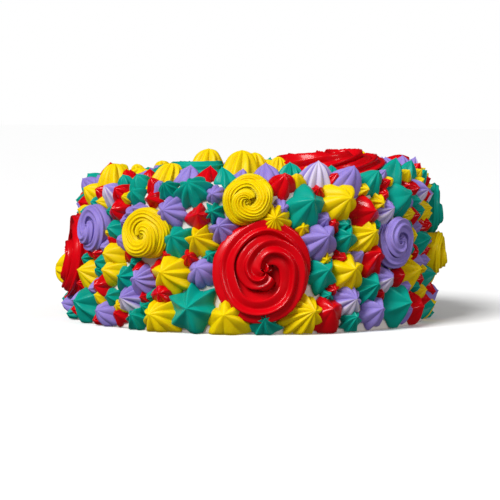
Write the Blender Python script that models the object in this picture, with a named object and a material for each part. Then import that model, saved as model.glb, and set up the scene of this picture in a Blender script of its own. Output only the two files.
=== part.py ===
"""A round birthday cake covered in piped icing stars and rosettes.

The cake is an upright drum of sponge under a coat of white icing.  Its side and its top are set
all over with stars pressed out of open tips and with spiral rosettes, in red, yellow, teal and
lavender.  Small stars are one body with the coat they are piped on; the rosettes and the largest
stars are bodies of their own.

Metres, +Z up.  The foot stands on z = 0 round the Z axis and the front faces -Y.
"""
import math

import bmesh
import bpy
import numpy as np
from mathutils import Matrix, Vector

for old in list(bpy.data.objects):
    bpy.data.objects.remove(old, do_unlink=True)

# driving dimensions
MM = 0.001
FOOT_RADIUS = 99 * MM        # coat, at the foot
WALL_RADIUS = 93 * MM        # coat, where the top edge starts to round over
EDGE_RADIUS = 11 * MM        # rounding of the top edge
TOP_HEIGHT = 80 * MM         # flat top of the coat
SIDE_LEAN = 0.045            # the hand-stacked drum leans this much to the right as it rises
TOP_SLOPE = 0.04             # and its top rises this much to the right
FOOT_SHIFT = -1.5 * MM       # its foot stands this far left of the middle of it all
CORE_SIDES = 48              # flats round the drum
WALL_ROWS = 3                # rings of points up the wall
EDGE_STEPS = 3               # facets over the rounded edge

SUNK = 1.6 * MM              # how far icing reaches under the coat's surface
GAP = 0.3 * MM               # between bodies that lie against each other
FOOT_CLEARANCE = 0.4 * MM    # piped icing ends this far above the foot
MERGE = 0.02 * MM            # points closer than this are one

NODE_WIDTH = 18 * MM         # stars this wide or wider are bodies of their own
LEAST_SHARE = 0.8            # a body squeezed below this share of that width joins the coat
SMALLEST_STAR = 6.5 * MM     # a star squeezed below this width is left out
SMALL_RIDGES = 6             # most ridges on a star that is one body with the coat
SMALL_RISE = 0.80            # its height against a full star's, for its straight flanks hold more
STAR_RISE = 3.0 * MM         # height of a star: this much ...
STAR_RISE_RATE = 0.43        # ... and this share of its width
TALL_RISE = 1.45             # height of the stars drawn up tall, against the others
TOP_RISE = 0.45              # height of the unplanned stars on the top, against the others
STAR_OVERLAP = 0.95          # small stars may touch: this much of the next one is kept clear
EDGE_SPREAD = 1.12           # how much wider a foot gets where it is laid over the rounded edge
EDGE_REACH = 6 * MM          # within this distance of that edge
LEAN_SHARE = 0.42            # how far a leaning peak is off its middle, in half widths
STAR_SPIN = 0.3              # angle of a star's first ridge
VALLEY_REACH = 0.76          # a valley's reach at the foot, against its ridges'
BELLY = (0.84, 0.58, 0.55, 0.4)  # belly: reach of ridges and valleys, height, share of the lean
DROP_LIMIT = 0.5             # most that a foot follows the coat downwards, in half widths

ROSETTE_STEPS = ((40 * MM, 18), (30 * MM, 15), (0.0, 13))  # points a turn, for widths above these
ROSETTE_SPIN = 0.6           # angle at which a spiral starts
ROSETTE_GROWTH = (1.12, 0.86)    # factor and power by which the valley line winds outwards
ROSETTE_DOME = 0.42          # how much lower the crest is at the rim than in the middle
ROSETTE_GROOVE = 0.26        # depth of the valley, against the height
ROSETTE_RIM = 0.34           # height of the rim's line, against the height
ROSETTE_FOOT = 0.985         # the foot's reach against the rim's

WALL_TOP = TOP_HEIGHT - EDGE_RADIUS
WALL_LENGTH = math.hypot(WALL_TOP, FOOT_RADIUS - WALL_RADIUS)
EDGE_LENGTH = EDGE_RADIUS * math.pi / 2
TOP_START = WALL_LENGTH + EDGE_LENGTH
FLAT_RADIUS = WALL_RADIUS - EDGE_RADIUS

COLOURS = {
    "white": ("icing_white", (0.86, 0.80, 0.74), 0.45),
    "red": ("icing_red", (0.62, 0.0, 0.008), 0.22),
    "yellow": ("icing_yellow", (0.90, 0.60, 0.0), 0.35),
    "teal": ("icing_teal", (0.0, 0.36, 0.28), 0.35),
    "lavender": ("icing_lavender", (0.34, 0.27, 0.66), 0.40),
}

# Rosettes: colour, turn round the cake in degrees (0 at the front, + to the right), distance in mm
# from the foot up the side and in over the top, width in mm, height in mm, turns of the spiral.
ROSETTES = [
    ("red", 4, 31, 54, 14, 1.75),
    ("red", -82, 36, 53, 11, 1.75),
    ("yellow", -35, 52, 30, 12, 1.5),
    ("yellow", -2, 71, 30, 12, 1.5),
    ("lavender", -61, 54, 26, 12, 1.5),
    ("lavender", 50, 45, 27, 12, 1.5),
    ("teal", 93, 60, 29, 14, 1.5),
    ("yellow", 83, 35, 24, 15, 1.5),
    ("red", 48, 116, 64, 14, 1.75),
    ("teal", -38, 111, 37, 11, 1.6),
    ("yellow", 170, 128, 38, 7, 1.6),
    ("lavender", -120, 117, 34, 7, 1.6),
    ("red", 152, 38, 48, 13, 1.75),
    ("yellow", 115, 50, 30, 12, 1.5),
    ("teal", -130, 46, 38, 12, 1.6),
    ("lavender", -165, 22, 28, 12, 1.5),
    ("yellow", -158, 62, 27, 12, 1.5),
]

# Stars of the front: colour, turn, distance along the coat, width, ridges, and the hour on a clock
# face to which the peak leans (0 upright, 12 up the cake).  They run from the top edge down.
STARS = [
    ("lavender", -84, 75, 14, 7, 11), ("teal", -90, 67, 12, 6, 9), ("yellow", -70, 72, 15, 7, 12),
    ("yellow", -66, 83, 18, 9, 12), ("lavender", -56, 73, 13, 8, 12), ("red", -50, 74, 12, 5, 0),
    ("red", -49, 65, 13, 4, 0), ("teal", -52, 79, 10, 5, 12), ("teal", -44, 79, 12, 6, 12),
    ("teal", -42, 72, 12, 5, 12), ("red", -46, 88, 10, 5, 0), ("yellow", -36, 87, 17, 9, 12),
    ("red", -37, 79, 9, 5, 0), ("red", -35, 71, 11, 5, 0), ("lavender", -28, 89, 14, 7, 12),
    ("teal", -30, 76, 12, 8, 0), ("teal", -21, 75, 19, 8, 0), ("red", -19, 88, 13, 5, 1),
    ("teal", -11, 85, 12, 5, 10), ("lavender", 4, 90, 14, 7, 12), ("red", 9, 77, 15, 5, 12),
    ("teal", 13, 88, 14, 8, 12), ("lavender", 21, 82, 17, 10, 1), ("lavender", 32, 78, 17, 6, 1),
    ("teal", 42, 76, 14, 5, 1), ("teal", 56, 80, 18, 4, 12), ("teal", 53, 66, 20, 4, 1),
    ("lavender", 80, 85, 13, 7, 12), ("teal", 79, 75, 11, 5, 1), ("lavender", 93, 80, 14, 6, 1),
    ("lavender", 69, 69, 14, 8, 2), ("lavender", 82, 66, 11, 7, 2), ("lavender", 66, 88, 13, 7, 12),
    ("teal", 70, 80, 13, 5, 12),
    ("lavender", -27, 64, 16, 8, 10), ("red", -18, 61, 14, 4, 1), ("teal", -13, 64, 12, 7, 0),
    ("lavender", -9, 54, 15, 7, 11), ("teal", 16, 65, 21, 5, 1), ("yellow", 27, 67, 20, 6, 2),
    ("red", 37, 61, 18, 4, 2), ("lavender", 47, 61, 13, 8, 1), ("red", 63, 57, 12, 5, 0),
    ("yellow", 74, 58, 13, 7, 1), ("red", 77, 51, 10, 5, 0), ("yellow", 6, 57, 19, 12, 12),
    ("teal", -49, 54, 13, 5, 10), ("teal", -24, 48, 18, 6, 12), ("yellow", -16, 48, 17, 7, 11),
    ("red", -27, 41, 10, 5, 0), ("lavender", 21, 47, 19, 6, 1), ("teal", 30, 48, 15, 5, 12),
    ("yellow", 37, 48, 18, 9, 1), ("red", 41, 36, 17, 5, 12), ("teal", 70, 42, 16, 5, 12),
    ("yellow", 60, 27, 17, 6, 1), ("red", 53, 27, 11, 4, 0), ("lavender", 46, 25, 14, 9, 1),
    ("yellow", 31, 30, 20, 6, 12), ("teal", 22, 29, 17, 5, 1), ("lavender", -15, 32, 15, 6, 11),
    ("yellow", -24, 30, 21, 7, 10), ("red", -30, 33, 10, 5, 0), ("lavender", -34, 27, 16, 8, 10),
    ("teal", -42, 28, 15, 6, 0), ("yellow", -48, 40, 15, 5, 9), ("yellow", -48, 31, 15, 5, 9),
    ("teal", -55, 35, 11, 5, 0), ("yellow", -62, 27, 16, 9, 11), ("red", -53, 22, 13, 5, 0),
    ("teal", 75, 23, 15, 5, 1), ("yellow", 92, 23, 16, 9, 2), ("teal", -94, 8, 14, 5, 9),
    ("lavender", -79, 8, 12, 6, 9), ("teal", -61, 9, 22, 5, 1), ("lavender", -49, 7, 14, 7, 10),
    ("teal", -47, 17, 11, 5, 0), ("lavender", -39, 16, 16, 9, 10), ("red", -43, 6, 10, 5, 12),
    ("teal", -36, 5, 14, 6, 12), ("teal", -33, 11, 10, 5, 12), ("red", -27, 20, 15, 5, 0),
    ("yellow", -27, 7, 20, 9, 10), ("teal", -17, 12, 28, 6, 0), ("yellow", -6, 6, 22, 6, 11),
    ("teal", 5, 4, 17, 7, 12), ("yellow", 16, 10, 21, 10, 2), ("red", 24, 9, 19, 4, 12),
    ("lavender", 31, 15, 16, 9, 1), ("teal", 33, 5, 12, 7, 12), ("lavender", 41, 9, 16, 6, 1),
    ("teal", 39, 21, 16, 6, 1), ("teal", 51, 11, 22, 5, 2), ("red", 63, 9, 15, 4, 0),
    ("teal", 75, 7, 12, 5, 2), ("lavender", 88, 12, 15, 6, 2), ("teal", 97, 7, 14, 5, 9),
]
# Stars that are drawn up tall, in the same terms.
TALL_STARS = [
    ("yellow", -102, 24, 22, 7, 0), ("yellow", -99, 140, 18, 8, 0), ("yellow", -9, 111, 18, 8, 12),
    ("yellow", -2, 126, 15, 9, 0), ("yellow", 13, 117, 11, 8, 0),
]

# The rest of the cake is filled with stars of these widths in mm, the largest first, each tried
# at so many places.
FILL = [(24, 60), (21, 80), (17.5, 500), (15.5, 1200), (13.5, 2500), (11.5, 3500), (9.5, 4000), (8, 4000)]
FILL_SEED = 11
FILL_FROM_TURN = 76          # on the side, degrees from the front
FILL_FROM_ALONG = 92         # on the top, mm
FILL_OVERLAP = 1.5           # how much two of them may overlap, mm
FILL_NEAR = 3                # neighbours closer than this are given another colour, mm
GAP_STAR = 10                # stars this wide or less also fill gaps in the front, mm
GAP_OVERLAP = 4              # and these may overlap this much, mm
SIDE_SHARE = 0.62            # of all tries are on the side
MANY_RIDGES = 12             # stars wider than this may have more ridges, mm


def coat_section(along):
    """Radius, height and outward slope of the coat: a straight wall that leans in, a quarter round
    over the edge, then the flat top."""
    if along <= WALL_LENGTH:
        share = along / WALL_LENGTH
        slope = math.atan2(FOOT_RADIUS - WALL_RADIUS, WALL_TOP)
        return FOOT_RADIUS + (WALL_RADIUS - FOOT_RADIUS) * share, WALL_TOP * share, slope
    if along <= TOP_START:
        slope = (along - WALL_LENGTH) / EDGE_RADIUS
        return FLAT_RADIUS + EDGE_RADIUS * math.cos(slope), WALL_TOP + EDGE_RADIUS * math.sin(slope), slope
    return FLAT_RADIUS - (along - TOP_START), TOP_HEIGHT, math.pi / 2


def coat_spot(turn, along):
    """A place on the coat as three plain numbers."""
    radius, height, _ = coat_section(along)
    angle = math.radians(turn)
    return radius * math.sin(angle), -radius * math.cos(angle), height


def coat_point(turn, along):
    """The place and the outward direction on the coat."""
    slope = coat_section(along)[2]
    angle = math.radians(turn)
    outward = Vector((math.sin(angle), -math.cos(angle), 0.0))
    return Vector(coat_spot(turn, along)), outward * math.cos(slope) + Vector((0, 0, math.sin(slope)))


def coat_distance(p):
    """How far a point is outside the coat, negative inside: a rounded cone, to within the lean."""
    radius = math.hypot(p.x, p.y)
    lean = FOOT_RADIUS + (WALL_RADIUS - FOOT_RADIUS) * min(max(p.z / WALL_TOP, 0.0), 1.0)
    side = radius - (lean - EDGE_RADIUS)
    rise = p.z - WALL_TOP
    inside = min(max(side, rise), 0.0)
    return math.hypot(max(side, 0.0), max(rise, 0.0)) + inside - EDGE_RADIUS


def frame_at(turn, along):
    """The matrix of a piece: x across, y up the cake, z outward."""
    place, normal = coat_point(turn, along)
    angle = math.radians(turn)
    across = Vector((math.cos(angle), math.sin(angle), 0.0))
    up = normal.cross(across)
    rotation = Matrix((across, up, normal)).transposed()
    return Matrix.Translation(place) @ rotation.to_4x4()


def drop(matrix, u, v, limit):
    """How far below the tangent plane the coat lies at (u, v), found by stepping inward."""
    inward = -(matrix.to_3x3() @ Vector((0, 0, 1)))
    start = matrix @ Vector((u, v, 0))
    depth = 0.0
    for _ in range(20):
        depth += coat_distance(start + inward * depth)
        if depth > limit:
            return limit
    return max(depth, 0.0)


def set_down(matrix, points, limit):
    """Lays points (u, v, w) on the coat: w is measured from the coat straight out."""
    placed = []
    for u, v, w in points:
        p = matrix @ Vector((u, v, w - drop(matrix, u, v, limit)))
        p.z = max(p.z, FOOT_CLEARANCE)
        placed.append(p)
    return placed


def spread_at(along):
    """How much wider a piece's foot gets where it is laid down over the rounded edge."""
    over_edge = WALL_LENGTH - EDGE_REACH < along < TOP_START + EDGE_REACH
    return EDGE_SPREAD if over_edge else 1.0


def room_for(piece, others, gap, overlap=1.0):
    """The half width a piece can have and stay clear of others that are already placed."""
    spread = spread_at(piece["along"])
    room = piece["width"] / 2
    for other in others:
        apart = math.dist(other["spot"], piece["spot"])
        taken = overlap * other["reach"] * spread_at(other["along"])
        room = min(room, (apart - taken - gap) / spread)
    return room


def star_mesh(matrix, width, ridges, lean, rise, bulging):
    """A pressed star: ridges and valleys rise from a wide foot to one peak, which is off the middle
    towards its hour.  A bulging star has a belly between the foot and the peak."""
    half = width / 2
    height = (STAR_RISE + STAR_RISE_RATE * width) * rise * (1.0 if bulging else SMALL_RISE)
    shift = 0.0 if lean == 0 else LEAN_SHARE * half
    bearing = math.radians(90 - 30 * lean)
    top_u = shift * math.cos(bearing)
    top_v = shift * math.sin(bearing)
    ridge_belly, valley_belly, belly_height, belly_lean = BELLY
    foot, belly = [], []
    for i in range(2 * ridges):
        angle = math.pi * i / ridges + STAR_SPIN
        reach = half * (1.0 if i % 2 == 0 else VALLEY_REACH)
        foot.append((reach * math.cos(angle), reach * math.sin(angle), -SUNK))
        if bulging:
            reach = half * (ridge_belly if i % 2 == 0 else valley_belly)
            belly.append((reach * math.cos(angle) + belly_lean * top_u,
                          reach * math.sin(angle) + belly_lean * top_v, belly_height * height))
    verts = set_down(matrix, foot, DROP_LIMIT * half + SUNK)
    verts += [matrix @ Vector(p) for p in belly]
    verts.append(matrix @ Vector((top_u, top_v, height)))
    for p in verts[2 * ridges:]:
        p.z = max(p.z, 2 * FOOT_CLEARANCE)
    count = 2 * ridges
    tip = len(verts) - 1
    faces = [tuple(reversed(range(count)))]
    for a in range(count):
        b = (a + 1) % count
        if bulging:
            faces += [(a, b, count + b, count + a), (count + a, count + b, tip)]
        else:
            faces.append((a, b, tip))
    return verts, faces


def rosette_mesh(matrix, width, height, turns):
    """A piped spiral: a valley line and a crest line wind out from the middle, so each turn is one
    raised band; the last turn runs out to nothing at the rim."""
    steps = next(count for above, count in ROSETTE_STEPS if width > above)
    radius = width / 2
    first_rim = int(round(turns * steps))
    last = first_rim + steps
    factor, power = ROSETTE_GROWTH

    def valley_reach(i):
        return radius * min(1.0, factor * (i / last) ** power) if i < last else radius

    def spot(reach, i, lift):
        angle = 2 * math.pi * i / steps + ROSETTE_SPIN
        return (reach * math.cos(angle), reach * math.sin(angle), lift)

    def dome(reach):
        return height * (1.0 - ROSETTE_DOME * (reach / radius) ** 2)

    points = []
    for i in range(last + 1):
        reach = valley_reach(i)
        lift = ROSETTE_RIM * height if i >= first_rim else dome(reach) - ROSETTE_GROOVE * height
        points.append(spot(reach, i, lift))
    crest_start = len(points)
    for i in range(first_rim + 1):
        reach = (valley_reach(i) + valley_reach(i + steps)) / 2
        points.append(spot(reach, i, dome(reach)))
    rim = list(range(first_rim, last + 1)) + [crest_start + first_rim]
    foot_start = len(points)
    low = [(points[k][0] * ROSETTE_FOOT, points[k][1] * ROSETTE_FOOT, -SUNK) for k in rim]
    verts = set_down(matrix, points + low, DROP_LIMIT * radius + SUNK)
    faces = []
    for i in range(1, steps):
        faces.append((0, i, i + 1))
    faces.append((0, steps, crest_start))
    for i in range(first_rim):
        crest, after = crest_start + i, crest_start + i + 1
        faces.append((i, crest, after, i + 1))
        faces.append((crest, i + steps, i + 1 + steps, after))
    n = len(rim)
    for k in range(n):
        j = (k + 1) % n
        faces.append((rim[k], foot_start + k, foot_start + j, rim[j]))
    faces.append(tuple(reversed(range(foot_start, foot_start + n))))
    return verts, faces


def make_object(name, verts, faces, material):
    mesh = bpy.data.meshes.new(name)
    mesh.from_pydata([tuple(v) for v in verts], [], faces)
    mesh.materials.append(material)
    body = bmesh.new()
    body.from_mesh(mesh)
    bmesh.ops.remove_doubles(body, verts=body.verts, dist=MERGE)
    bmesh.ops.recalc_face_normals(body, faces=body.faces)
    bmesh.ops.triangulate(body, faces=body.faces)
    body.to_mesh(mesh)
    body.free()
    made = bpy.data.objects.new(name, mesh)
    bpy.context.scene.collection.objects.link(made)
    return made


def drum(name, extra, material):
    """The coat as a turned body, its surface moved out by extra."""
    rings = [WALL_LENGTH * step / WALL_ROWS for step in range(WALL_ROWS)]
    rings += [WALL_LENGTH + EDGE_LENGTH * step / EDGE_STEPS for step in range(EDGE_STEPS + 1)]
    verts, faces = [], []
    for along in rings:
        for k in range(CORE_SIDES):
            place, normal = coat_point(360.0 * k / CORE_SIDES, along)
            moved = place + normal * extra
            if along == 0.0 and extra > 0.0:
                moved += normal * MM - Vector((0, 0, EDGE_RADIUS))
            verts.append(moved)
    rows = len(rings)
    for r in range(rows - 1):
        for k in range(CORE_SIDES):
            a = r * CORE_SIDES + k
            b = r * CORE_SIDES + (k + 1) % CORE_SIDES
            faces.append((a, b, b + CORE_SIDES, a + CORE_SIDES))
    faces.append(tuple(reversed(range(CORE_SIDES))))
    faces.append(tuple(range((rows - 1) * CORE_SIDES, rows * CORE_SIDES)))
    return make_object(name, verts, faces, material)


def apply_modifiers(target):
    bpy.context.view_layer.update()
    graph = bpy.context.evaluated_depsgraph_get()
    done = bpy.data.meshes.new_from_object(target.evaluated_get(graph))
    old = target.data
    target.modifiers.clear()
    target.data = done
    bpy.data.meshes.remove(old)


def trim(target, cutter):
    cut = target.modifiers.new("trim", "BOOLEAN")
    cut.operation = "DIFFERENCE"
    cut.solver = "EXACT"
    cut.object = cutter
    apply_modifiers(target)


def keep_largest(target):
    """Drops loose scraps: only the connected shell with most faces is kept."""
    body = bmesh.new()
    body.from_mesh(target.data)
    left = set(body.faces)
    shells = []
    while left:
        stack = [left.pop()]
        shell = set(stack)
        while stack:
            for edge in stack.pop().edges:
                for face in edge.link_faces:
                    if face in left:
                        left.discard(face)
                        shell.add(face)
                        stack.append(face)
        shells.append(shell)
    shells.sort(key=len)
    spare = [face for shell in shells[:-1] for face in shell]
    if spare:
        bmesh.ops.delete(body, geom=spare, context="FACES")
        body.to_mesh(target.data)
    body.free()


materials = {}
for key, (slot, rgb, roughness) in COLOURS.items():
    made = bpy.data.materials.new(slot)
    made.use_nodes = True
    shader = made.node_tree.nodes["Principled BSDF"]
    shader.inputs["Base Color"].default_value = (*rgb, 1.0)
    shader.inputs["Roughness"].default_value = roughness
    made.diffuse_color = (*rgb, 1.0)
    materials[key] = made

# where the pieces stand
rosettes = []
for colour, turn, along, width, height, turns in ROSETTES:
    rosettes.append({"colour": colour, "turn": turn, "along": along * MM, "width": width * MM,
                     "height": height * MM, "turns": turns, "spot": coat_spot(turn, along * MM)})

stars = []


def plan_star(colour, turn, along, width, ridges, lean, rise):
    stars.append({"colour": colour, "turn": turn, "along": along * MM, "width": width * MM,
                  "ridges": ridges, "lean": lean, "rise": rise, "spot": coat_spot(turn, along * MM)})


for row in STARS:
    plan_star(*row, 1.0)
for row in TALL_STARS:
    plan_star(*row, TALL_RISE)

# Unplanned stars: tried at random places, kept where they touch nothing yet.
draw = np.random.default_rng(FILL_SEED)
piped = [key for key in COLOURS if key != "white"]
for width, tries in FILL:
    for _ in range(tries):
        turn = float(draw.uniform(-180, 180))
        pick = float(draw.uniform(0, 1))
        if pick < SIDE_SHARE:
            along = float(draw.uniform(width / 2 - 1, WALL_LENGTH / MM + EDGE_RADIUS / MM))
        else:
            along = TOP_START / MM + (1 - math.sqrt(float(draw.uniform(0, 1)))) * FLAT_RADIUS / MM
        hue = int(draw.integers(0, len(piped)))
        ridges = int(draw.integers(5, 9)) if width > MANY_RIDGES else int(draw.integers(5, 7))
        lean = int(draw.integers(0, 13))
        if abs(turn) < FILL_FROM_TURN and along < FILL_FROM_ALONG and width > GAP_STAR:
            continue
        spot = coat_spot(turn, along * MM)
        rooms = [(math.dist(other["spot"], spot) - (other["width"] + width * MM) / 2, other["colour"])
                 for other in rosettes + stars]
        if min(rooms)[0] < -(GAP_OVERLAP if width <= GAP_STAR else FILL_OVERLAP) * MM:
            continue
        near = [colour for room, colour in rooms if room < FILL_NEAR * MM]
        colour = min(piped[hue:] + piped[:hue], key=near.count)
        plan_star(colour, turn, along, width, ridges, lean, TOP_RISE if along > FILL_FROM_ALONG else 1.0)

# bodies of their own
coat_cutter = drum("coat_cutter", GAP, materials["white"])
coat_cutter.hide_render = True
coat_cutter.display_type = "WIRE"

separate = []
counts = {}


def add_separate(kind, piece, verts, faces):
    label = kind + "_" + piece["colour"]
    counts[label] = counts.get(label, 0) + 1
    made = make_object(f"{label}_{counts[label]}", verts, faces, materials[piece["colour"]])
    trim(made, coat_cutter)
    keep_largest(made)
    separate.append(piece)


for piece in rosettes:
    room = room_for(piece, separate, GAP)
    piece["reach"] = room
    matrix = frame_at(piece["turn"], piece["along"])
    verts, faces = rosette_mesh(matrix, 2 * room, piece["height"], piece["turns"])
    add_separate("rosette", piece, verts, faces)

for piece in sorted(stars, key=lambda s: -s["width"]):
    if piece["width"] < NODE_WIDTH:
        continue
    room = room_for(piece, separate, GAP)
    if 2 * room < LEAST_SHARE * NODE_WIDTH:
        continue
    piece["reach"] = room
    matrix = frame_at(piece["turn"], piece["along"])
    verts, faces = star_mesh(matrix, 2 * room, piece["ridges"], piece["lean"], piece["rise"], True)
    add_separate("star", piece, verts, faces)

# the coat and its small stars
cake = drum("cake", 0.0, materials["white"])
joined = bpy.data.collections.new("small_stars")
bpy.context.scene.collection.children.link(joined)
small = []
for piece in stars:
    if "reach" in piece:
        continue
    room = min(room_for(piece, separate, 2 * GAP), room_for(piece, small, 0.0, STAR_OVERLAP))
    if 2 * room < SMALLEST_STAR:
        continue
    piece["reach"] = room
    small.append(piece)
    matrix = frame_at(piece["turn"], piece["along"])
    ridges = min(piece["ridges"], SMALL_RIDGES)
    verts, faces = star_mesh(matrix, 2 * room, ridges, piece["lean"], piece["rise"], False)
    made = make_object("small_star", verts, faces, materials[piece["colour"]])
    joined.objects.link(made)
    bpy.context.scene.collection.objects.unlink(made)

for key in piped:
    cake.data.materials.append(materials[key])
union = cake.modifiers.new("fuse", "BOOLEAN")
union.operation = "UNION"
union.operand_type = "COLLECTION"
union.solver = "EXACT"
union.collection = joined
apply_modifiers(cake)
for made in list(joined.objects):
    bpy.data.objects.remove(made, do_unlink=True)
bpy.data.collections.remove(joined)
bpy.data.objects.remove(coat_cutter, do_unlink=True)
keep_largest(cake)

# The whole drum leans a little to the right, and its heights grow to the right.
for made in bpy.data.objects:
    for point in made.data.vertices:
        x, y, z = point.co
        x += SIDE_LEAN * z + FOOT_SHIFT
        point.co = (x, y, z * (1 + TOP_SLOPE * x / TOP_HEIGHT))
    made.data.update()
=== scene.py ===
"""The looks of a round birthday cake covered in piped icing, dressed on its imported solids."""
import math

import bpy
import numpy as np
from mathutils import Matrix, Vector


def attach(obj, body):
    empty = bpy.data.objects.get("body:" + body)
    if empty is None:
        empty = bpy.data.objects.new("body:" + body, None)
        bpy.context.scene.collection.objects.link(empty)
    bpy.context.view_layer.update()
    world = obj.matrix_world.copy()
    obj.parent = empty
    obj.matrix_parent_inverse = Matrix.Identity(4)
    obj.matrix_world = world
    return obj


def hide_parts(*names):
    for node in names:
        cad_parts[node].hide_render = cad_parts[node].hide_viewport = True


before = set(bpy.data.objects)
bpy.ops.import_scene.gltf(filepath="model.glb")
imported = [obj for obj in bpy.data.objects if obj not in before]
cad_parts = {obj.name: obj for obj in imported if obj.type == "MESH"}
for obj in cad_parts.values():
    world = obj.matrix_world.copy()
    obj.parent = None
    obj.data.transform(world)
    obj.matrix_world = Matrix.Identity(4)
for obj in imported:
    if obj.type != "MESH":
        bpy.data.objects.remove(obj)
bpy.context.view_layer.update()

MM = 0.001

# The camera: a long lens a little above the cake's top, as far off as the photograph's perspective
# shows, turned down and rolled by as many degrees as its lines lean.
CAMERA_DISTANCE = 1300 * MM
CAMERA_HEIGHT = 130 * MM
CAMERA_SIDE = -0.7 * MM
CAMERA_PITCH = 4.08
CAMERA_ROLL = 0.55
LENS = 166
SENSOR_WIDTH = 36
NEAREST_SEEN = 10 * MM

camera_data = bpy.data.cameras.new("camera")
camera_data.lens = LENS
camera_data.sensor_width = SENSOR_WIDTH
camera_data.clip_start = NEAREST_SEEN
camera = bpy.data.objects.new("camera", camera_data)
bpy.context.scene.collection.objects.link(camera)
aim = Matrix.Rotation(math.radians(90 - CAMERA_PITCH), 4, "X")
roll = Matrix.Rotation(math.radians(CAMERA_ROLL), 4, "Z")
camera.matrix_world = Matrix.Translation((CAMERA_SIDE, -CAMERA_DISTANCE, CAMERA_HEIGHT)) @ aim @ roll
bpy.context.scene.camera = camera

# The coat: sponge under a smoothed layer of white buttercream, spread by hand with a palette knife,
# so it is slightly wavy and leans a little to the right.  It shows only between the piped pieces.
FOOT_RADIUS = 99 * MM
WALL_RADIUS = 93 * MM
EDGE_RADIUS = 11 * MM
TOP_HEIGHT = 80 * MM
SIDE_LEAN = 0.045
TOP_SLOPE = 0.04
FOOT_SHIFT = -1.5 * MM
WALL_TOP = TOP_HEIGHT - EDGE_RADIUS
WALL_LENGTH = math.hypot(WALL_TOP, FOOT_RADIUS - WALL_RADIUS)
EDGE_LENGTH = EDGE_RADIUS * math.pi / 2
TOP_START = WALL_LENGTH + EDGE_LENGTH
FLAT_RADIUS = WALL_RADIUS - EDGE_RADIUS


def coat_point(turn, along):
    """Place and outward direction on the coat: radius and height run along a straight wall, then a
    quarter circle, then in over the flat top; turn is in degrees from the front."""
    turn, along = np.broadcast_arrays(np.radians(turn), along)
    share = np.clip(along / WALL_LENGTH, 0, 1)
    bend = np.clip((along - WALL_LENGTH) / EDGE_RADIUS, 0, math.pi / 2)
    inward = np.maximum(along - TOP_START, 0)
    radius = FOOT_RADIUS + (WALL_RADIUS - FOOT_RADIUS) * share + EDGE_RADIUS * (np.cos(bend) - 1) - inward
    height = WALL_TOP * share + EDGE_RADIUS * np.sin(bend)
    slope = np.where(along < WALL_LENGTH, math.atan2(FOOT_RADIUS - WALL_RADIUS, WALL_TOP), bend)
    out_x, out_y = np.sin(turn), -np.cos(turn)
    place = np.stack([out_x * radius, out_y * radius, height], axis=-1)
    normal = np.stack([out_x * np.cos(slope), out_y * np.cos(slope), np.sin(slope)], axis=-1)
    return place, normal


def coat_distance(p):
    """Distance of points outside the coat: that of a rounded cone, side and top each moved in by the
    edge's radius, whose corner then is a circle of that radius."""
    radius = np.hypot(p[..., 0], p[..., 1])
    wall = FOOT_RADIUS + (WALL_RADIUS - FOOT_RADIUS) * np.clip(p[..., 2] / WALL_TOP, 0, 1)
    side = radius - (wall - EDGE_RADIUS)
    rise = p[..., 2] - WALL_TOP
    inside = np.minimum(np.maximum(side, rise), 0)
    return np.hypot(np.maximum(side, 0), np.maximum(rise, 0)) + inside - EDGE_RADIUS


def leaned(points):
    """The whole drum's lean: x grows with height, from a foot a little left of the middle, and
    heights grow with x, because the right side is stacked a little higher."""
    moved = points.copy()
    moved[..., 0] += SIDE_LEAN * points[..., 2] + FOOT_SHIFT
    moved[..., 2] *= 1 + TOP_SLOPE * moved[..., 0] / TOP_HEIGHT
    return moved


def closed_tube(points, first_middle, last_middle):
    """Points, quads and triangles of a closed body: rows of points, each row a ring, with a
    middle point to close the first ring and one to close the last."""
    rows, columns = points.shape[:2]
    r, c = np.meshgrid(np.arange(rows - 1), np.arange(columns), indexing="ij")
    corner = r * columns + c
    beside = r * columns + (c + 1) % columns
    quads = np.stack([corner, beside, beside + columns, corner + columns], axis=-1).reshape(-1, 4)
    ring = np.arange(columns)
    after = (ring + 1) % columns
    last_row = (rows - 1) * columns
    first_fan = np.stack([after, ring, np.full(columns, rows * columns)], axis=-1)
    last_fan = np.stack([last_row + ring, last_row + after, np.full(columns, rows * columns + 1)], axis=-1)
    points = np.concatenate([points.reshape(-1, 3), [first_middle, last_middle]])
    return points, quads, np.concatenate([first_fan, last_fan])


def joined_mesh(name, parts, material, attribute=None):
    """One object from parts of (points, quads, triangles, values): all arrays laid end to end, the
    faces' numbers raised by the points that come before."""
    points, quads, triangles, values = [], [], [], []
    start = 0
    for part_points, part_quads, part_triangles, part_values in parts:
        points.append(part_points)
        quads.append(part_quads + start)
        triangles.append(part_triangles + start)
        values.append(part_values)
        start += len(part_points)
    faces = np.concatenate(quads).tolist() + np.concatenate(triangles).tolist()

    mesh = bpy.data.meshes.new(name)
    mesh.from_pydata(leaned(np.concatenate(points)), [], faces)
    mesh.polygons.foreach_set("use_smooth", np.ones(len(faces), dtype=bool))
    if attribute:
        layer = mesh.attributes.new(attribute, "FLOAT", "POINT")
        layer.data.foreach_set("value", np.concatenate(values).astype(np.float32))
    mesh.materials.append(material)
    mesh.validate()
    made = bpy.data.objects.new(name, mesh)
    bpy.context.scene.collection.objects.link(made)
    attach(made, "root")
    return made


def srgb(code):
    """A hex colour as linear red, green, blue and alpha, by the sRGB curve."""
    parts = [int(code[k:k + 2], 16) / 255 for k in (1, 3, 5)]
    return (*[v / 12.92 if v <= 0.04045 else ((v + 0.055) / 1.055) ** 2.4 for v in parts], 1.0)


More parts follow.
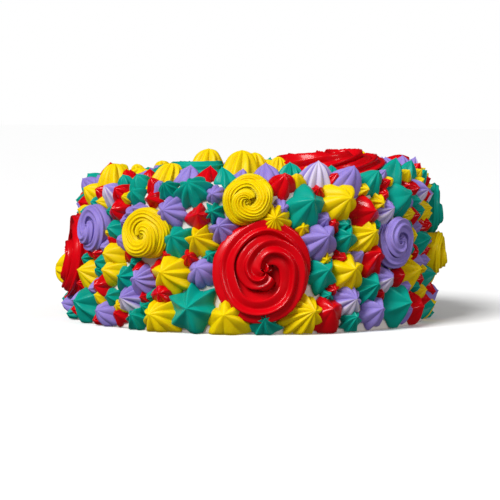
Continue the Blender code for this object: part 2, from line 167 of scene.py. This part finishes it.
def add_node(material, kind, settings=None, links=None):
    """Adds a node to a material, or to the world; settings are its properties or input values, links
    its inputs' sources as (node, output)."""
    node = material.node_tree.nodes.new(kind)
    for key, value in (settings or {}).items():
        if key in node.inputs:
            node.inputs[key].default_value = value
        else:
            setattr(node, key, value)
    for key, (source, output) in (links or {}).items():
        material.node_tree.links.new(source.outputs[output], node.inputs[key])
    return node


# The paste's own sizes: how far its colour drifts, its air bubbles, and how deep light goes in; and
# the noise values at which its first and its second tone are pure.
DYE_DRIFT = 14 * MM
BUBBLE_SIZE = 0.8 * MM
BUBBLE_DEPTH = 0.25 * MM
GLOW_DEPTH = 2.5 * MM
FIRST_TONE, SECOND_TONE = 0.3, 0.75
# Butter's index of refraction, its weak reflection, and how smooth the fat on its skin is.
PASTE_IOR = 1.45
PASTE_SPECULAR = 0.12
FAT_ROUGHNESS = 0.16
# The skin's unevenness: a wetter skin is smoother.
DRY_BUMP = 0.22
BUMP_LOSS = 0.5
# A Mix node's colours share their names with its numbers, so their sockets go by number.
MIX_FIRST, MIX_SECOND, MIX_RESULT = 6, 7, 2


def mixed_colour(material, factor, first, second):
    """A Mix node between a first colour, a hex code or a node's output, and a second, a hex code."""
    mix = add_node(material, "ShaderNodeMix", {"data_type": "RGBA"}, {"Factor": factor})
    if isinstance(first, str):
        mix.inputs[MIX_FIRST].default_value = srgb(first)
    else:
        material.node_tree.links.new(first, mix.inputs[MIX_FIRST])
    mix.inputs[MIX_SECOND].default_value = srgb(second)
    return mix


def buttercream(name, tone, shade, roughness, coat, glow, streak=None):
    """Whipped butter and sugar: a soft, slightly translucent paste.  Its colour drifts a little over
    centimetres where the dye is mixed unevenly, its skin is pitted by small air bubbles, and its fat
    gives a satin to wet gloss.  Glow is how much light passes through it; a streak is a second
    colour that follows an attribute."""
    material = bpy.data.materials.new(name)
    material.use_nodes = True
    material.node_tree.nodes.clear()
    place = add_node(material, "ShaderNodeTexCoord")
    drift = add_node(material, "ShaderNodeTexNoise", {"Scale": 1 / DYE_DRIFT, "Detail": 3.0},
                     {"Vector": (place, "Object")})
    dye = add_node(material, "ShaderNodeMapRange", {"From Min": FIRST_TONE, "From Max": SECOND_TONE},
                   {"Value": (drift, "Fac")})
    colour = mixed_colour(material, (dye, "Result"), tone, shade)
    if streak:
        where = add_node(material, "ShaderNodeAttribute", {"attribute_name": "streak"})
        colour = mixed_colour(material, (where, "Fac"), colour.outputs[MIX_RESULT], streak)
    bubbles = add_node(material, "ShaderNodeTexNoise", {"Scale": 1 / (2 * BUBBLE_SIZE), "Detail": 2.0},
                       {"Vector": (place, "Object")})
    skin = add_node(material, "ShaderNodeBump",
                    {"Strength": DRY_BUMP - BUMP_LOSS * coat, "Distance": BUBBLE_DEPTH},
                    {"Height": (bubbles, "Fac")})
    shader = add_node(material, "ShaderNodeBsdfPrincipled",
                      {"Roughness": roughness, "IOR": PASTE_IOR, "Specular IOR Level": PASTE_SPECULAR,
                       "Coat Weight": coat, "Coat Roughness": FAT_ROUGHNESS, "Subsurface Weight": glow,
                       "Subsurface Scale": GLOW_DEPTH, "Subsurface Radius": (1.0, 0.8, 0.4)},
                      {"Base Color": (colour, MIX_RESULT), "Normal": (skin, "Normal")})
    add_node(material, "ShaderNodeOutputMaterial", links={"Surface": (shader, "BSDF")})
    return material


white_icing = buttercream("white buttercream", "#E2D8D3", "#D6CAC5", roughness=0.5, coat=0.0, glow=0.1)

# The coat's mesh: points round the cake, and rows up the wall, round the edge and in over the top.
COAT_COLUMNS = 240
COAT_SIDE_ROWS = 50
COAT_EDGE_ROWS = 14
COAT_TOP_ROWS = 34
LAST_RING = 0.5 * MM
# The knife's strokes: fine and broad waves, by their number round the cake and their length up it.
STROKE_DEPTH = 0.25 * MM
FINE_STROKES, FINE_LENGTH = 7, 9 * MM
BROAD_STROKES, BROAD_LENGTH = 4, 14 * MM
STROKE_FADE = 6 * MM

coat_along = np.concatenate([np.linspace(0, WALL_LENGTH, COAT_SIDE_ROWS, endpoint=False),
                             np.linspace(WALL_LENGTH, TOP_START, COAT_EDGE_ROWS, endpoint=False),
                             np.linspace(TOP_START, TOP_START + FLAT_RADIUS - LAST_RING, COAT_TOP_ROWS)])
coat_along = coat_along[:, None]
coat_turn = np.linspace(-180, 180, COAT_COLUMNS, endpoint=False)[None, :]
coat_place, coat_normal = coat_point(coat_turn, coat_along)
fine = np.sin(np.radians(FINE_STROKES * coat_turn)) * np.sin(coat_along / FINE_LENGTH)
broad = np.sin(np.radians(BROAD_STROKES * coat_turn) + 1.0) * np.cos(coat_along / BROAD_LENGTH)
knife = STROKE_DEPTH * (fine + broad) * np.clip(coat_along / STROKE_FADE, 0, 1)
coat_body = closed_tube(coat_place + coat_normal * knife[..., None], (0, 0, 0), (0, 0, TOP_HEIGHT))
coat = joined_mesh("icing_coat", [(*coat_body, np.zeros(len(coat_body[0])))], white_icing)

# The rosettes: buttercream pressed out of an open star tip while it travels in a spiral from the
# middle outwards; the tip's teeth leave ridges along the rope, and the tail is drawn off at the rim.
# Each row: node, colour, turn in degrees from the front, along, width and height in mm, turns, sense
# (1 winds anticlockwise), degrees at which the tail ends, teeth of the tip, depth of their grooves
# against the rope's radius, how far the teeth twist round the rope in radians a turn, the size piped
# against the planned width, and how far above the planned place it is piped in mm.
ROSETTES = [
    ("rosette_red_1", "red", 4, 31, 54, 14, 2.0, -1, -40, 7, 0.46, 1.2, 1.0, 1.5),
    ("rosette_red_2", "red", -82, 36, 53, 11, 2.0, -1, 200, 7, 0.44, 1.2, 1.0, 0),
    ("rosette_yellow_1", "yellow", -35, 52, 30, 12, 1.85, -1, -115, 13, 0.24, 1.6, 0.96, 0),
    ("rosette_yellow_2", "yellow", -2, 71, 30, 12, 1.85, 1, -30, 15, 0.34, 1.2, 0.90, -0.8),
    ("rosette_lavender_1", "lavender", -61, 54, 26, 12, 1.85, -1, 150, 8, 0.24, 1.6, 1.06, 0),
    ("rosette_lavender_2", "lavender", 50, 45, 27, 12, 1.85, -1, 100, 7, 0.34, 1.2, 1.0, 0),
    ("rosette_teal_1", "teal", 93, 60, 29, 14, 1.85, 1, 30, 8, 0.18, 1.2, 0.94, -2),
    ("rosette_yellow_3", "yellow", 83, 35, 24, 15, 1.85, 1, 30, 9, 0.22, 1.2, 1.0, 0),
    ("rosette_red_3", "red", 48, 116, 64, 14, 2.0, -1, 200, 7, 0.46, 4.5, 0.97, 0),
    ("rosette_teal_2", "teal", -38, 111, 37, 11, 1.85, 1, 10, 8, 0.25, 1.2, 1.13, 0),
    ("rosette_yellow_4", "yellow", 170, 128, 38, 7, 1.85, 1, 100, 12, 0.32, 1.2, 1.0, 0),
    ("rosette_lavender_3", "lavender", -120, 117, 34, 7, 1.85, -1, 70, 9, 0.32, 1.2, 1.0, 0),
    ("rosette_red_4", "red", 152, 38, 48, 13, 2.0, 1, 60, 8, 0.40, 2.0, 1.0, 0),
    ("rosette_yellow_5", "yellow", 115, 50, 30, 12, 1.85, 1, -60, 14, 0.32, 1.2, 1.0, 0),
    ("rosette_teal_3", "teal", -130, 46, 38, 12, 1.85, -1, 30, 8, 0.32, 1.2, 1.0, 0),
    ("rosette_lavender_4", "lavender", -165, 22, 28, 12, 1.85, -1, 120, 8, 0.32, 1.2, 1.0, 0),
    ("rosette_yellow_6", "yellow", -158, 62, 27, 12, 1.85, 1, 10, 14, 0.32, 1.2, 1.0, 0),
]

icing = {
    "red": buttercream("red icing", "#CA000E", "#B8000A", roughness=0.30, coat=0.30, glow=0.1),
    "yellow": buttercream("yellow buttercream", "#E0C400", "#D8B600", roughness=0.42, coat=0.03, glow=0.45),
    "teal": buttercream("teal buttercream", "#049887", "#038676", roughness=0.40, coat=0.05, glow=0.1),
    "lavender": buttercream("lavender buttercream", "#8F7EC6", "#806EB6", roughness=0.45, coat=0.02,
                            glow=0.15, streak="#CFC6D4"),
}

# How deep a piped piece goes into the coat, how low its foot may reach, and the steps by which its
# points find the coat.
SUNK = 1.6 * MM
FOOT_CLEARANCE = 0.4 * MM
SETTLING_STEPS = 20


def set_down(turn, along, local, limit):
    """Lays points (u across, v up, w out) on the coat round one place: each is moved straight in by
    the depth at which the coat lies under the tangent plane there, found by stepping."""
    place, normal = coat_point(turn, along)
    angle = math.radians(turn)
    across = np.array([math.cos(angle), math.sin(angle), 0.0])
    up = np.cross(normal, across)
    flat = place + local[..., 0:1] * across + local[..., 1:2] * up
    depth = np.zeros(local.shape[:-1])
    for _ in range(SETTLING_STEPS):
        depth += coat_distance(flat - normal * depth[..., None])
        depth = np.clip(depth, 0, limit)
    points = flat + normal * (local[..., 2] - depth)[..., None]
    points[..., 2] = np.maximum(points[..., 2], FOOT_CLEARANCE)
    return points


# How sharp a creased ridge is, and how sharp the groove between two round lobes.
CREASE_POWER = 0.95
LOBE_POWER = 0.75


def teeth(angle, count, sharp):
    """How deep a tip's teeth cut at an angle: 0 on a ridge, 1 in a groove.  Sharp 1 gives creased
    ridges with soft grooves, 0 gives round lobes parted by creased grooves."""
    half = angle * count / 2
    creased = np.abs(np.sin(half)) ** CREASE_POWER
    lobed = 1 - np.abs(np.cos(half)) ** LOBE_POWER
    return sharp * creased + (1 - sharp) * lobed


# The rosettes' mesh: rings for each turn, and points for each tooth.
RINGS_A_TURN = 76
POINTS_A_TOOTH = 10
# The rope: its radius against the half width shared among the turns and one more, its thickness at
# the start and the tail, what it loses towards the rim, and how sharp its ridges are.
ROPE_SHARE = 0.86
START_THICKNESS = 0.80
TAIL_THICKNESS = 0.15
RIM_THINNING = 0.18
ROPE_SHARPNESS = 0.75
# The turns over which it swells at the start, runs round the rim, and is drawn off at the tail, and
# the curves of the swelling and the drawing off.
SWELLING_TURNS = 0.45
RIM_TURNS = 0.62
TAIL_TURNS = 0.25
SWELLING_POWER = 0.8
TAIL_POWER = 0.7
# The spiral's radius in rope radii: at the start, what the swelling adds, and how far inside the
# half width it stays at the rim; and how much of its lost thickness the tail moves outwards.
START_REACH = 0.20
SWELLING_REACH = 0.48
RIM_INSET = 1.50
TAIL_DRIFT = 0.3
# The height of the rope's middle: how many radii under its crest, and its shares at the start, at
# the rim and at the tail.
CREST_RADII = 0.98
START_HEIGHT = 0.9
RIM_HEIGHT = 0.40
TAIL_HEIGHT = 0.35
# The section's width on its outer and inner side, and what the inner side gains in the middle.
OUTER_WIDTH = 1.06
INNER_WIDTH = 1.20
MIDDLE_WIDTH = 0.35
# The hand's unsteadiness: of the teeth's twist in radians, by this many waves a turn, and of the
# spiral's radius.
TWIST_WAVER = 0.12
TWIST_WAVES = 2.3
SPIRAL_WAVER = 0.03
# How far round the coat a rosette bends back at most, as a share of its half width.
ROSETTE_BEND = 0.45


def rosette(turn, along, width, height, turns, sense, tail, count, groove, twist, size, raised):
    """A rope with a toothed section carried along a flat spiral.  Its radius grows by a smooth step
    with the angle and then stays, so that the last part runs round the rim, while the rope sinks
    lower; the section is a circle cut by the teeth, which twist along the way, a little thinner
    in the middle and drawn out at the tail.  Its inner foot spreads to the spiral's middle, so no
    coat shows between the turns."""
    half = size * width * MM / 2
    tall = height * MM
    rope = half / (turns + 1.0) * ROPE_SHARE
    wound = np.linspace(0, turns, int(RINGS_A_TURN * turns))[:, None]
    angle = math.radians(tail) - sense * 2 * math.pi * (turns - wound)
    grown = wound / turns
    swell = np.clip(wound / SWELLING_TURNS, 0, 1)
    tail_run = np.clip((turns - wound) / TAIL_TURNS, 0, 1)
    settled = np.clip(wound / (turns - RIM_TURNS), 0, 1)

    body = rope * (1 - RIM_THINNING * grown ** 2)
    thick = body * (START_THICKNESS + (1 - START_THICKNESS) * swell ** SWELLING_POWER)
    thick *= TAIL_THICKNESS + (1 - TAIL_THICKNESS) * tail_run ** TAIL_POWER
    reach = rope * (START_REACH + SWELLING_REACH * swell)
    reach += (half - RIM_INSET * rope) * settled ** 2 * (3 - 2 * settled)
    reach += (body - thick) * (1 - tail_run) * TAIL_DRIFT
    waver = 1 + SPIRAL_WAVER * np.sin(2 * angle + turn) + SPIRAL_WAVER / 2 * np.sin(5 * angle)
    middle = (tall - CREST_RADII * rope) * (START_HEIGHT + (1 - START_HEIGHT) * swell)
    middle *= (1 - (1 - RIM_HEIGHT) * grown ** 2) * (TAIL_HEIGHT + (1 - TAIL_HEIGHT) * tail_run)

    section = np.linspace(0, 2 * math.pi, count * POINTS_A_TOOTH, endpoint=False)[None, :]
    side, top = np.cos(section), np.sin(section)
    turned = section + twist * wound + TWIST_WAVER * np.sin(TWIST_WAVES * angle + turn)
    cut = thick * (1 - groove * teeth(turned, count, ROPE_SHARPNESS))
    out = cut * side * np.where(side < 0, INNER_WIDTH + MIDDLE_WIDTH * (1 - grown), OUTER_WIDTH)
    rise = cut * top * np.where(top < 0, tall / rope, 1.0)
    inner_foot = (side < 0) & (top < 0)
    out = np.where(inner_foot, np.minimum(out, -reach * np.sin(2 * section)), out)
    rise = np.where(inner_foot, thick * top ** 3 * tall / rope, rise)

    u = (reach * waver + out) * np.cos(angle)
    v = (reach * waver + out) * np.sin(angle)
    w = np.maximum(middle + rise, -SUNK)
    local = np.stack([u, v, w], axis=-1)
    points = set_down(turn, (along + raised) * MM, local, ROSETTE_BEND * half + SUNK)
    points, quads, fans = closed_tube(points, points[0].mean(axis=0), points[-1].mean(axis=0))
    if sense < 0:
        quads, fans = quads[:, ::-1], fans[:, ::-1]
    return points, quads, fans, np.zeros(len(points))


for node, colour, *shape in ROSETTES:
    piece = joined_mesh(node + "_piped", [rosette(*shape)], icing[colour], "streak")
    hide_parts(node)

# The stars: buttercream pressed out of an open star tip held still and pulled away, which leaves
# ridges that run up to one drawn-out peak; some come from a bag filled with lavender and white.
# Each row: colour, turn in degrees from the front, along and width in mm, ridges, and the hour of a
# clock face to which the peak leans, 0 for none.
STARS = [
    ("lavender", -84, 75, 14, 7, 11), ("teal", -90, 67, 12, 6, 9), ("yellow", -70, 72, 15, 7, 12),
    ("yellow", -66, 83, 18, 9, 12), ("lavender", -56, 73, 13, 8, 12), ("red", -50, 74, 12, 5, 0),
    ("red", -49, 65, 13, 4, 0), ("teal", -52, 79, 10, 5, 12), ("teal", -44, 79, 12, 6, 12),
    ("teal", -42, 72, 12, 5, 12), ("red", -46, 88, 10, 5, 0), ("yellow", -36, 87, 17, 9, 12),
    ("red", -37, 79, 9, 5, 0), ("red", -35, 71, 11, 5, 0), ("lavender", -28, 89, 14, 7, 12),
    ("teal", -30, 76, 12, 8, 0), ("teal", -21, 75, 19, 8, 0), ("red", -19, 88, 13, 5, 1),
    ("teal", -11, 85, 12, 5, 10), ("lavender", 4, 90, 14, 7, 12), ("red", 9, 77, 15, 5, 12),
    ("teal", 13, 88, 14, 8, 12), ("lavender", 21, 82, 17, 10, 1), ("lavender", 32, 78, 17, 6, 1),
    ("teal", 42, 76, 14, 5, 1), ("teal", 56, 80, 18, 4, 12), ("teal", 53, 66, 20, 4, 1),
    ("lavender", 80, 85, 13, 7, 12), ("teal", 79, 75, 11, 5, 1), ("lavender", 93, 80, 14, 6, 1),
    ("lavender", 69, 69, 14, 8, 2), ("lavender", 82, 66, 11, 7, 2), ("lavender", 66, 88, 13, 7, 12),
    ("teal", 70, 80, 13, 5, 12),
    ("lavender", -27, 64, 16, 8, 10), ("red", -18, 61, 14, 4, 1), ("teal", -13, 64, 12, 7, 0),
    ("lavender", -9, 54, 15, 7, 11), ("teal", 16, 65, 21, 5, 1), ("yellow", 27, 67, 20, 6, 2),
    ("red", 37, 61, 18, 4, 2), ("lavender", 47, 61, 13, 8, 1), ("red", 63, 57, 12, 5, 0),
    ("yellow", 74, 58, 13, 7, 1), ("red", 77, 51, 10, 5, 0), ("yellow", 6, 57, 19, 12, 12),
    ("teal", -49, 54, 13, 5, 10), ("teal", -24, 48, 18, 6, 12), ("yellow", -16, 48, 17, 7, 11),
    ("red", -27, 41, 10, 5, 0), ("lavender", 21, 47, 19, 6, 1), ("teal", 30, 48, 15, 5, 12),
    ("yellow", 37, 48, 18, 9, 1), ("red", 41, 36, 17, 5, 12), ("teal", 70, 42, 16, 5, 12),
    ("yellow", 60, 27, 17, 6, 1), ("red", 53, 27, 11, 4, 0), ("lavender", 46, 25, 14, 9, 1),
    ("yellow", 31, 30, 20, 6, 12), ("teal", 22, 29, 17, 5, 1), ("lavender", -15, 32, 15, 6, 11),
    ("yellow", -24, 30, 21, 7, 10), ("red", -30, 33, 10, 5, 0), ("lavender", -34, 27, 16, 8, 10),
    ("teal", -42, 28, 15, 6, 0), ("yellow", -48, 40, 15, 5, 9), ("yellow", -48, 31, 15, 5, 9),
    ("teal", -55, 35, 11, 5, 0), ("yellow", -62, 27, 16, 9, 11), ("red", -53, 22, 13, 5, 0),
    ("teal", 75, 23, 15, 5, 1), ("yellow", 92, 23, 16, 9, 2), ("teal", -94, 8, 14, 5, 9),
    ("lavender", -79, 8, 12, 6, 9), ("teal", -61, 9, 22, 5, 1), ("lavender", -49, 7, 14, 7, 10),
    ("teal", -47, 17, 11, 5, 0), ("lavender", -39, 16, 16, 9, 10), ("red", -43, 6, 10, 5, 12),
    ("teal", -36, 5, 14, 6, 12), ("teal", -33, 11, 10, 5, 12), ("red", -27, 20, 15, 5, 0),
    ("yellow", -27, 7, 20, 9, 10), ("teal", -17, 12, 28, 6, 0), ("yellow", -6, 6, 22, 6, 11),
    ("teal", 5, 4, 17, 7, 12), ("yellow", 16, 10, 21, 10, 2), ("red", 24, 9, 19, 4, 12),
    ("lavender", 31, 15, 16, 9, 1), ("teal", 33, 5, 12, 7, 12), ("lavender", 41, 9, 16, 6, 1),
    ("teal", 39, 21, 16, 6, 1), ("teal", 51, 11, 22, 5, 2), ("red", 63, 9, 15, 4, 0),
    ("teal", 75, 7, 12, 5, 2), ("lavender", 88, 12, 15, 6, 2), ("teal", 97, 7, 14, 5, 9),
]
# Stars that are drawn up tall, in the same terms.
TALL_STARS = [
    ("yellow", -102, 24, 22, 7, 0), ("yellow", -99, 140, 18, 8, 0), ("yellow", -9, 111, 18, 8, 12),
    ("yellow", -2, 126, 15, 9, 0), ("yellow", 13, 117, 11, 8, 0),
]
# The turn and the place along of each star of the front that was piped from the two-coloured bag.
STREAKED = [(-56, 73), (21, 82), (69, 69), (82, 66), (47, 61), (46, 25), (-39, 16), (31, 15)]

# The rest of the cake is filled by a seeded rule, in rounds of (width in mm, tries), from wide to
# narrow.  The front, between these turns and below this place along, takes only gap stars, the
# narrow ones.  A share of the tries goes to the side, from a foot that may overhang by this many mm.
FILL = [(24, 60), (21, 80), (17.5, 500), (15.5, 1200), (13.5, 2500), (11.5, 3500), (9.5, 4000), (8, 4000)]
FILL_SEED = 11
FILL_FROM_TURN = 76
FILL_FROM_ALONG = 92
SIDE_SHARE = 0.62
FOOT_OVERHANG = 1
# Stars overlap by this many mm at most, and each takes the colour that is rarest near it.
FILL_OVERLAP = 1.5
GAP_STAR = 10
GAP_OVERLAP = 4
NEAR = 3 * MM
# Wider stars come from tips with more teeth: the least number, and one above the greatest.
FEW_TEETH = (5, 7)
MORE_TEETH = (5, 9)
MORE_TEETH_FROM = 12
# A star's peak leans to one of twelve hours, or to none.
LEANS = 13
COLOURS = ["red", "yellow", "teal", "lavender"]
# How tall tall stars and those on the top are, against those of the side.
TALL_RISE = 1.45
TOP_RISE = 0.45

placed = [(colour, coat_point(turn, along * MM)[0], width * MM)
          for colour, turn, along, width, *_ in [row[1:] for row in ROSETTES] + STARS + TALL_STARS]
stars = [(*row, 1.0) for row in STARS] + [(*row, TALL_RISE) for row in TALL_STARS]
draw = np.random.default_rng(FILL_SEED)
for width, tries in FILL:
    overlap = GAP_OVERLAP if width <= GAP_STAR else FILL_OVERLAP
    few, more = MORE_TEETH if width > MORE_TEETH_FROM else FEW_TEETH
    for _ in range(tries):
        turn = float(draw.uniform(-180, 180))
        if draw.uniform(0, 1) < SIDE_SHARE:
            along = float(draw.uniform(width / 2 - FOOT_OVERHANG, WALL_LENGTH / MM + EDGE_RADIUS / MM))
        else:
            along = TOP_START / MM + (1 - math.sqrt(float(draw.uniform(0, 1)))) * FLAT_RADIUS / MM
        hue = int(draw.integers(0, len(COLOURS)))
        count = int(draw.integers(few, more))
        lean = int(draw.integers(0, LEANS))
        if abs(turn) < FILL_FROM_TURN and along < FILL_FROM_ALONG and width > GAP_STAR:
            continue
        place = coat_point(turn, along * MM)[0]
        apart = np.linalg.norm(np.array([other[1] for other in placed]) - place, axis=1)
        room = apart - (np.array([other[2] for other in placed]) + width * MM) / 2
        if room.min() < -overlap * MM:
            continue
        near = [placed[k][0] for k in np.nonzero(room < NEAR)[0]]
        colour = min(COLOURS[hue:] + COLOURS[:hue], key=near.count)
        rise = TOP_RISE if along > FILL_FROM_ALONG else 1.0
        placed.append((colour, place, width * MM))
        stars.append((colour, turn, along, width, count, lean, rise))

# A star's height in mm: this much, and this much more for each mm of its width.
STAR_RISE = 3.0
STAR_RISE_RATE = 0.43
# The stars' meshes, as points for each tooth and rings: wide ones not at the back, others, gap stars.
FINE_MESH = (12, 16)
FINE_WIDTH = 11
FINE_TURN = 110
PLAIN_MESH = (8, 11)
GAP_MESH = (6, 9)
# The rings: the two at the foot, how the others crowd towards the rim, and the last one.
FOOT_RINGS = [0.90, 0.97]
RING_CROWDING = 1.25
PEAK_RING = 0.004
# The profile, in shares of its height: its rim, how full it bulges, and the drawn-out tip.
STAR_RIM = 0.08
BULGE = (1.35, 2.2)
BLUNT_BULGE = 2.6
DOME_POWER = 0.85
TIP = 0.12
BLUNT_TIP = 0.03
TIP_SPREAD = 0.10
# A ring reaches past the star's half width, because the teeth cut it back.
STAR_REACH = 1.25
# How unlike the lobes are, how far they twist and waver in radians, and how oval a ring is.
LOBE_SIZES = (0.86, 1.08)
LOBE_TWIST = 0.45
LOBE_WAVER = 0.16
OVAL = 0.05
RIPPLE = 0.03
# How deep the teeth cut: round lobes, what creased ridges add, and from the foot to half-way up.
CUT_ROUND, CUT_CREASED = 0.32, 0.16
CUT_SPREAD = (0.88, 1.12)
CUT_FOOT, CUT_MIDDLE = 0.78, 0.26
# How far the peak leans, as a share of the half width, along a curve up the star, and by how many
# degrees it misses its clock hour.
PEAK_LEAN = (0.30, 0.56)
UPRIGHT_LEAN = 0.08
LEAN_POWER = 1.3
LEAN_SPREAD = 12
HOUR = 30
# The white of a two-coloured star: how much it follows the ridges and keeps to the lower side.
WHITE_ON_RIDGES = 0.45
WHITE_BELOW = 1.2
WHITE_LOSS = 0.05
WHITE_MOST = 0.8
# How far round the coat a star bends back at most, as a share of its half width.
STAR_BEND = 0.5


def star(turn, along, width, count, lean, rise, sharp, streaked, blunt, chance):
    """A pressed star: rings shrink from a foot under the coat over a bulging rim to a peak.  Height
    grows as a power of how far the ring has shrunk, with a thin drawn-out tip on top; each ring is
    cut by the tip's teeth, lobes differ a little, and the rings slide towards the leaning peak."""
    half = width * MM / 2
    tall = (STAR_RISE + STAR_RISE_RATE * width) * MM * rise
    samples, rings = PLAIN_MESH if width > GAP_STAR else GAP_MESH
    if width > FINE_WIDTH and abs(turn) < FINE_TURN:
        samples, rings = FINE_MESH
    angle = np.linspace(0, 2 * math.pi, samples * count, endpoint=False)[None, :]
    shrink = np.concatenate([FOOT_RINGS, 1 - np.linspace(0, 1, rings) ** RING_CROWDING])[:, None]
    shrink[-1] = PEAK_RING
    tip = BLUNT_TIP if blunt else TIP
    bulge = chance.uniform(*BULGE) if rise <= 1 else BLUNT_BULGE
    bulge = BLUNT_BULGE if blunt else bulge
    lift = STAR_RIM + (1 - STAR_RIM - tip) * (1 - shrink ** bulge) ** DOME_POWER
    lift += tip * np.exp(-shrink / TIP_SPREAD)
    lift[:2, 0] = -SUNK / tall, 0.0

    lobes = chance.uniform(*LOBE_SIZES, count)
    lobes = np.interp(angle, np.linspace(0, 2 * math.pi, count + 1), np.append(lobes, lobes[0]))
    spin = chance.uniform(0, 2 * math.pi)
    twist = chance.uniform(-LOBE_TWIST, LOBE_TWIST) * (1 - shrink)
    twist = twist + LOBE_WAVER * np.sin(angle + chance.uniform(0, 6))
    depth = (CUT_ROUND + CUT_CREASED * sharp) * chance.uniform(*CUT_SPREAD)
    cut = 1 - depth * teeth(angle, count, sharp) * (CUT_FOOT + CUT_MIDDLE * np.sin(math.pi * shrink))
    swell = 1 + OVAL * np.sin(angle + chance.uniform(0, 6)) + RIPPLE * np.sin(2 * angle + 9 * shrink)
    reach = half * STAR_REACH * shrink * lobes * cut * swell

    bearing = math.radians(90 - HOUR * lean + chance.uniform(-LEAN_SPREAD, LEAN_SPREAD))
    shift = (UPRIGHT_LEAN if lean == 0 else chance.uniform(*PEAK_LEAN)) * half
    slide = shift * np.clip(lift, 0, 1) ** LEAN_POWER
    u = reach * np.cos(angle + spin + twist) + slide * math.cos(bearing)
    v = reach * np.sin(angle + spin + twist) + slide * math.sin(bearing)
    w = np.broadcast_to(lift * tall, u.shape)
    points = set_down(turn, along * MM, np.stack([u, v, w], axis=-1), STAR_BEND * half + SUNK)
    points, quads, fans = closed_tube(points, points[0].mean(axis=0), points[-1].mean(axis=0))

    value = np.zeros(len(points))
    if streaked:
        upward = np.sin(angle + spin + twist)
        white = WHITE_ON_RIDGES * np.cos(angle * count) - WHITE_BELOW * upward - WHITE_LOSS
        value[:-2] = np.clip(white, 0, WHITE_MOST).reshape(-1)
    return points, quads, fans, value


# How creased each colour's ridges are, from 0 to 1, and how far single stars differ from that.
SHARPNESS = {"red": 0.5, "yellow": 0.45, "teal": 0.85, "lavender": 0.15}
SHARPNESS_SPREAD = 0.3
# The back's share of lavender stars from the two-coloured bag, and where yellow ones get blunt.
BACK_TURN = 90
BACK_STREAKED = 0.3
BLUNT_FROM_ALONG = 80
SHAPE_SEED = 5

chance = np.random.default_rng(SHAPE_SEED)
shapes = {name: [] for name in COLOURS}
for colour, turn, along, width, count, lean, rise in stars:
    sharp = SHARPNESS[colour] + chance.uniform(-SHARPNESS_SPREAD, SHARPNESS_SPREAD)
    sharp = min(1.0, max(0.0, sharp))
    streaked = (turn, along) in STREAKED
    if not streaked and colour == "lavender" and abs(turn) > BACK_TURN:
        streaked = chance.uniform() < BACK_STREAKED
    blunt = rise > 1 or (colour == "yellow" and rise == 1 and along > BLUNT_FROM_ALONG)
    shapes[colour].append(star(turn, along, width, count, lean, rise, sharp, streaked, blunt, chance))

for colour in COLOURS:
    piece = joined_mesh("stars_" + colour, shapes[colour], icing[colour], "streak")
    nodes = [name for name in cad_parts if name.startswith("star_" + colour)]
    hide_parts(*nodes)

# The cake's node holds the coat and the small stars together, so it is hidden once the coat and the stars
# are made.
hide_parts("cake")

# The studio: a white paper floor under a broad soft key light from the upper left in front, a small
# light beside it for the icing's highlights and a weak fill from the right.  The paper throws no
# light back on the cake, so the shadows between the piped pieces stay deep.
FLOOR_HALF = 6.0
LIT_POINT = Vector((0, 0, 50 * MM))

paper = bpy.data.materials.new("white paper")
paper.use_nodes = True
paper_shader = paper.node_tree.nodes["Principled BSDF"]
paper_shader.inputs["Base Color"].default_value = srgb("#FCFCFC")
paper_shader.inputs["Roughness"].default_value = 0.8
paper_shader.inputs["Specular IOR Level"].default_value = 0.1
floor_mesh = bpy.data.meshes.new("floor")
floor_mesh.from_pydata([(-FLOOR_HALF, -FLOOR_HALF, 0), (FLOOR_HALF, -FLOOR_HALF, 0),
                        (FLOOR_HALF, FLOOR_HALF, 0), (-FLOOR_HALF, FLOOR_HALF, 0)], [], [(0, 1, 2, 3)])
floor_mesh.materials.append(paper)
floor = bpy.data.objects.new("floor", floor_mesh)
bpy.context.scene.collection.objects.link(floor)
floor.visible_diffuse = False
floor.visible_glossy = False


def soft_light(name, kind, place, size, power):
    """A light that faces the cake; its size is a square's side in metres, or a sun's angle in degrees."""
    data = bpy.data.lights.new(name, kind)
    if kind == "AREA":
        data.size = size
    else:
        data.angle = math.radians(size)
    data.energy = power
    lamp = bpy.data.objects.new(name, data)
    bpy.context.scene.collection.objects.link(lamp)
    lamp.location = place
    lamp.rotation_euler = (LIT_POINT - lamp.location).to_track_quat("-Z", "Y").to_euler()


soft_light("key light", "SUN", (-0.8, -1.0, 1.25), size=28, power=3.5)
soft_light("left highlight", "AREA", (-0.7, -1.1, 0.8), size=0.18, power=2.4)
soft_light("right fill", "AREA", (1.0, -0.9, 0.6), size=0.5, power=5.0)

# The room is white to the camera, gives weak light, and is nearly dark in the icing's reflections, so
# that the colours stay deep.
ROOM_SEEN = 1.0
ROOM_LIGHT = 0.30
ROOM_REFLECTED = 0.02

world = bpy.data.worlds.new("white room")
bpy.context.scene.world = world
world.use_nodes = True
room = world.node_tree.nodes["Background"]
room.inputs["Color"].default_value = srgb("#FFFFFF")
ray = add_node(world, "ShaderNodeLightPath")
dimmed = add_node(world, "ShaderNodeMapRange", {"To Min": ROOM_LIGHT, "To Max": ROOM_REFLECTED},
                  {"Value": (ray, "Is Glossy Ray")})
strength = add_node(world, "ShaderNodeMapRange", {"To Max": ROOM_SEEN},
                    {"Value": (ray, "Is Camera Ray"), "To Min": (dimmed, "Result")})
world.node_tree.links.new(strength.outputs["Result"], room.inputs["Strength"])
bpy.context.scene.view_settings.view_transform = "Standard"
